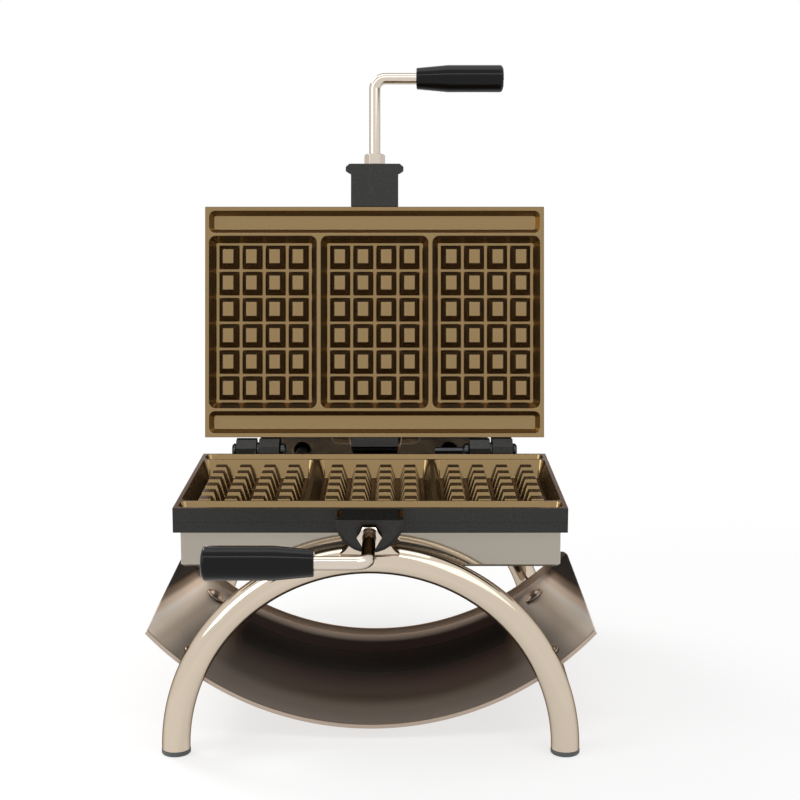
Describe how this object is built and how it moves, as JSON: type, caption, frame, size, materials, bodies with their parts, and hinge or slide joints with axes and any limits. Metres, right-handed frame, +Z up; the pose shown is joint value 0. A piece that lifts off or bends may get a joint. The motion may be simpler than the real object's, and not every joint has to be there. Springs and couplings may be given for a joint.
{
  "type": "commercial waffle maker",
  "caption": "Commercial waffle maker: a hinged iron with deep grid plates that turns on two tubular arches over a curved drip tray.",
  "frame": {"origin": "middle of the object's bounding box in X and Y, at the height of the table under the foot caps", "axes": "+Z up, -Y towards the operator, +X to the operator's right; the iron turns about a line along Y and the lid hinges about a line along X"},
  "size_m": [0.37, 0.52, 0.5559],
  "materials": {
    "plate_coating": "cast iron with a satin bronze-toned release coating",
    "black_casting": "cast iron with a finely textured black coating",
    "polished_sheet": "polished stainless steel sheet",
    "arch_tube": "polished stainless steel tube",
    "tray_sheet": "satin stainless steel sheet",
    "bright_steel": "bright polished steel",
    "hinge_steel": "blackened steel",
    "grip_plastic": "glossy black thermoset plastic",
    "foot_rubber": "matte grey rubber",
    "element_sheath": "heat-dulled steel sheath",
    "retainer_sheet": "zinc-plated sheet",
    "insulation": "mineral fibre pad",
    "probe_brass": "plain brass",
    "gland_plastic": "black polyamide",
    "knob_plastic": "black moulded plastic",
    "lamp_lens": "amber lamp lens",
    "porcelain": "off-white ceramic"
  },
  "bodies": {
    "stand": {"front_arch": "arch_tube", "rear_arch": "arch_tube", "left_stretcher": "arch_tube", "right_stretcher": "arch_tube", "front_left_foot_cap": "foot_rubber", "front_right_foot_cap": "foot_rubber", "rear_left_foot_cap": "foot_rubber", "rear_right_foot_cap": "foot_rubber", "front_saddle": "arch_tube", "rear_saddle": "arch_tube", "rear_bearing": "arch_tube", "left_bearing_bolt": "bright_steel", "right_bearing_bolt": "bright_steel", "drip_tray": "tray_sheet", "front_left_tray_bolt": "bright_steel", "front_right_tray_bolt": "bright_steel", "rear_left_tray_bolt": "bright_steel", "rear_right_tray_bolt": "bright_steel", "control_box": "polished_sheet", "control_box_cover": "polished_sheet", "left_box_bracket": "arch_tube", "right_box_bracket": "arch_tube", "left_cable_gland": "gland_plastic", "right_cable_gland": "gland_plastic", "cord_gland": "gland_plastic", "thermostat_body": "porcelain", "switch_body": "knob_plastic", "pilot_lamp": "lamp_lens", "terminal_block": "porcelain"},
    "lower_iron": {"lower_grid_plate": "plate_coating", "lower_frame": "black_casting", "lower_housing": "polished_sheet", "lower_heating_element": "element_sheath", "lower_element_retainer": "retainer_sheet", "lower_insulation": "insulation", "lower_temperature_probe": "probe_brass", "lower_stud_left": "bright_steel", "lower_stud_right": "bright_steel", "lower_handle_rod": "bright_steel", "lower_handle_nut": "bright_steel", "lower_grip": "grip_plastic", "left_hinge_pin": "hinge_steel", "right_hinge_pin": "hinge_steel", "left_hinge_washer": "hinge_steel", "right_hinge_washer": "hinge_steel"},
    "lid": {"upper_grid_plate": "plate_coating", "upper_frame": "black_casting", "upper_housing": "polished_sheet", "upper_heating_element": "element_sheath", "upper_element_retainer": "retainer_sheet", "upper_insulation": "insulation", "upper_temperature_probe": "probe_brass", "upper_stud_left": "bright_steel", "upper_stud_right": "bright_steel", "upper_handle_rod": "bright_steel", "upper_handle_nut": "bright_steel", "upper_grip": "grip_plastic"},
    "thermostat_knob": {"thermostat_knob": "knob_plastic"},
    "power_rocker": {"power_rocker": "knob_plastic"}
  },
  "joints": [
    {"name": "iron_turn", "type": "hinge", "parent": "stand", "child": "lower_iron", "pos_m": [0, 0, 0.2], "axis": [0, 1, 0], "range_deg": [-30, 30]},
    {"name": "lid_hinge", "type": "hinge", "parent": "lower_iron", "child": "lid", "pos_m": [0, 0.10345, 0.2], "axis": [1, 0, 0], "range_deg": [0, 100]},
    {"name": "thermostat_turn", "type": "hinge", "parent": "stand", "child": "thermostat_knob", "pos_m": [0.11, 0.22, 0.222], "axis": [1, 0, 0], "range_deg": [0, 270]},
    {"name": "power_switch", "type": "hinge", "parent": "stand", "child": "power_rocker", "pos_m": [0.109, 0.22, 0.17], "axis": [0, 1, 0], "range_deg": [-16, 0]}
  ]
}
